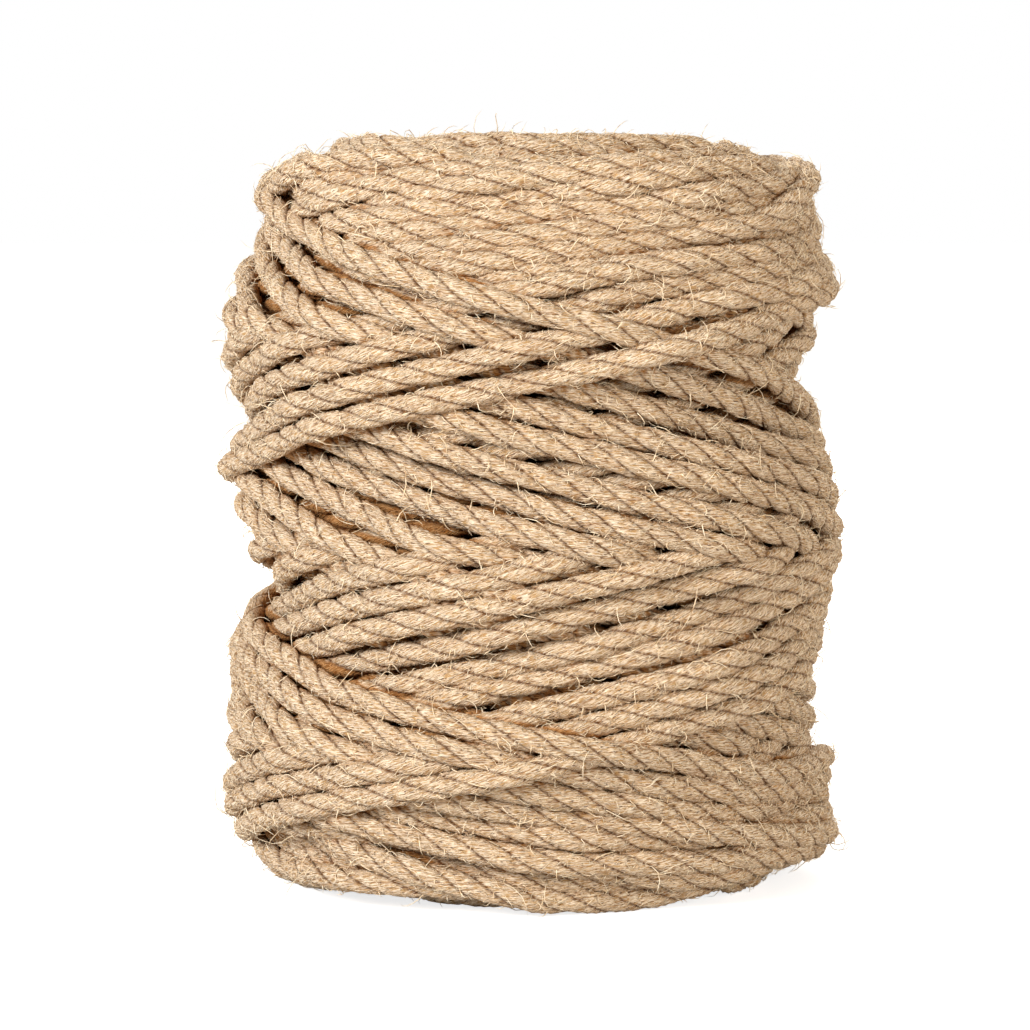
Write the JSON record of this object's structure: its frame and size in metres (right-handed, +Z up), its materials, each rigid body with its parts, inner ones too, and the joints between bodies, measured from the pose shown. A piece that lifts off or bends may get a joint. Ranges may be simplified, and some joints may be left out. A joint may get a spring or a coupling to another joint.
{
  "type": "roll of jute rope",
  "caption": "Upright coreless roll of twisted jute rope, cross-wound in slanting courses, with an open centre hole.",
  "frame": {"origin": "on the surface the roll stands on, below the middle of its bounding box, which lies within half a millimetre of the winding axis", "axes": "+Z up along the winding axis, -Y towards the front that the picture shows, +X to the right seen from there"},
  "size_m": [0.1386, 0.1384, 0.167],
  "materials": {
    "jute": "matte twisted bast fibre with loose hairs"
  },
  "bodies": {
    "root": {"wound_rope": "jute"}
  },
  "joints": []
}
